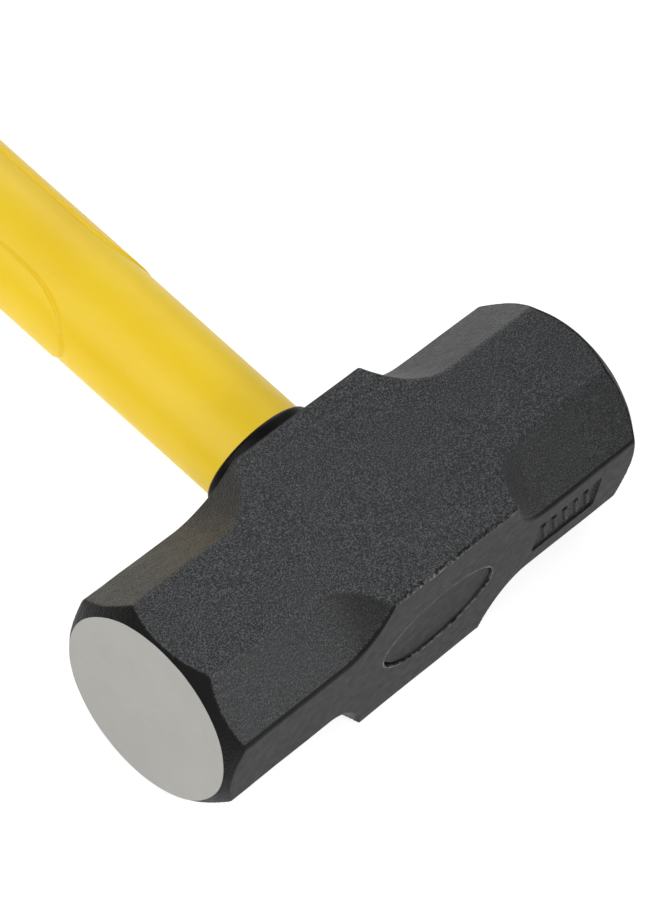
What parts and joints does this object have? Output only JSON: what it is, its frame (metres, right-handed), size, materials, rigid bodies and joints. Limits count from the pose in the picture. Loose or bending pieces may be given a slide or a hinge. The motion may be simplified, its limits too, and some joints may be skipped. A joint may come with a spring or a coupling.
{
  "type": "sledgehammer",
  "caption": "Sledgehammer with a double-faced forged head, octagonal polls, an oval eye filled with resin, and a yellow moulded fibreglass-core handle with a black collar and rubber grip.",
  "frame": {"origin": "on the lower cheek, straight below the middle of the eye", "axes": "+Z out of the upper cheek, X from one striking face to the other, +Y along the handle away from the head"},
  "size_m": [0.161, 0.89, 0.0574],
  "materials": {
    "black_coat": "textured black powder coat on forged steel; striking faces ground to bare satin steel",
    "resin": "satin cast epoxy, dark grey",
    "fibreglass": "pultruded glass and resin, hidden inside the jacket",
    "yellow_plastic": "semi-gloss moulded yellow polypropylene",
    "collar_plastic": "semi-gloss black",
    "grip_rubber": "matte black rubber"
  },
  "bodies": {
    "root": {"head": "black_coat", "eye_resin": "resin", "fibreglass_core": "fibreglass", "handle_jacket": "yellow_plastic", "collar": "collar_plastic", "grip": "grip_rubber"}
  },
  "joints": []
}
